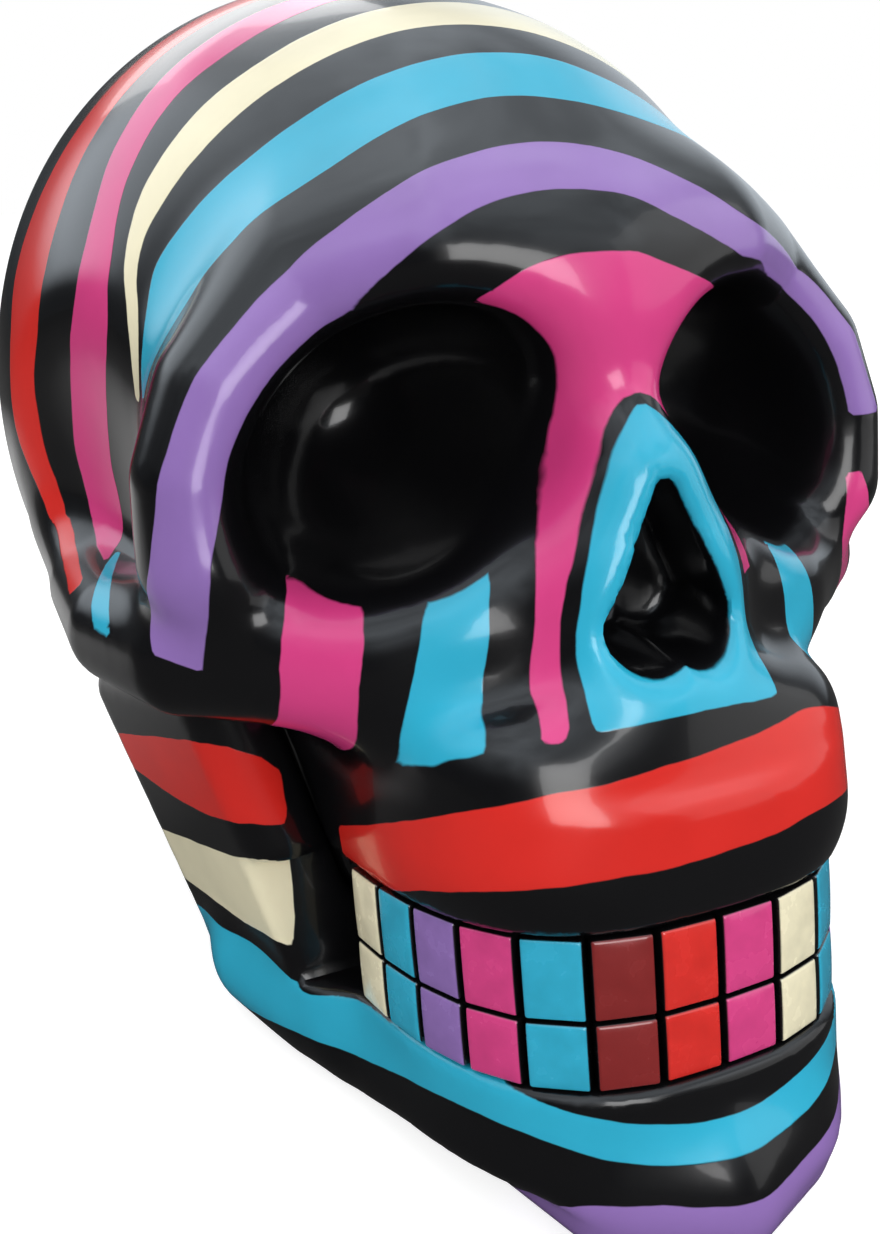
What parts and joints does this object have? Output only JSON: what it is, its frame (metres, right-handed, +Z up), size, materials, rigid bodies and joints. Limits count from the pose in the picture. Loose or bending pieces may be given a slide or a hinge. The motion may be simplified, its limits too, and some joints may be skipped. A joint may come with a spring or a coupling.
{
  "type": "sugar skull",
  "caption": "Ornamental skull in glossy black lacquer with bright painted stripes and coloured set-in teeth, standing on felt pads.",
  "frame": {"origin": "middle of the footprint box, on the table", "axes": "+X to the skull's left, +Y to the back of the head, +Z up"},
  "size_m": [0.1332, 0.2222, 0.1641],
  "materials": {
    "black_lacquer": "cast resin, sprayed gloss black, striped with flat paint and clear lacquered",
    "tooth_red": "cast resin tile, painted red and clear lacquered",
    "tooth_dark_red": "cast resin tile, painted dark red and clear lacquered",
    "tooth_blue": "cast resin tile, painted blue and clear lacquered",
    "tooth_pink": "cast resin tile, painted pink and clear lacquered",
    "tooth_purple": "cast resin tile, painted purple and clear lacquered",
    "tooth_cream": "cast resin tile, painted cream and clear lacquered",
    "grey_rubber": "moulded, matt",
    "black_felt": "pressed felt, matt"
  },
  "bodies": {
    "root": {"cranium": "black_lacquer", "jaw": "black_lacquer", "upper_tooth_right_1": "tooth_red", "lower_tooth_right_1": "tooth_red", "upper_tooth_right_2": "tooth_dark_red", "lower_tooth_right_2": "tooth_dark_red", "upper_tooth_right_3": "tooth_blue", "lower_tooth_right_3": "tooth_blue", "upper_tooth_right_4": "tooth_pink", "lower_tooth_right_4": "tooth_pink", "upper_tooth_right_5": "tooth_purple", "lower_tooth_right_5": "tooth_purple", "upper_tooth_right_6": "tooth_blue", "lower_tooth_right_6": "tooth_blue", "upper_tooth_right_7": "tooth_cream", "lower_tooth_right_7": "tooth_cream", "upper_tooth_left_1": "tooth_pink", "lower_tooth_left_1": "tooth_pink", "upper_tooth_left_2": "tooth_cream", "lower_tooth_left_2": "tooth_cream", "upper_tooth_left_3": "tooth_blue", "lower_tooth_left_3": "tooth_blue", "upper_tooth_left_4": "tooth_purple", "lower_tooth_left_4": "tooth_purple", "upper_tooth_left_5": "tooth_red", "lower_tooth_left_5": "tooth_red", "upper_tooth_left_6": "tooth_dark_red", "lower_tooth_left_6": "tooth_dark_red", "upper_tooth_left_7": "tooth_blue", "lower_tooth_left_7": "tooth_blue", "base_plug": "grey_rubber", "felt_pad_jaw_right": "black_felt", "felt_pad_jaw_left": "black_felt", "felt_pad_heel_right": "black_felt", "felt_pad_heel_left": "black_felt"}
  },
  "joints": []
}
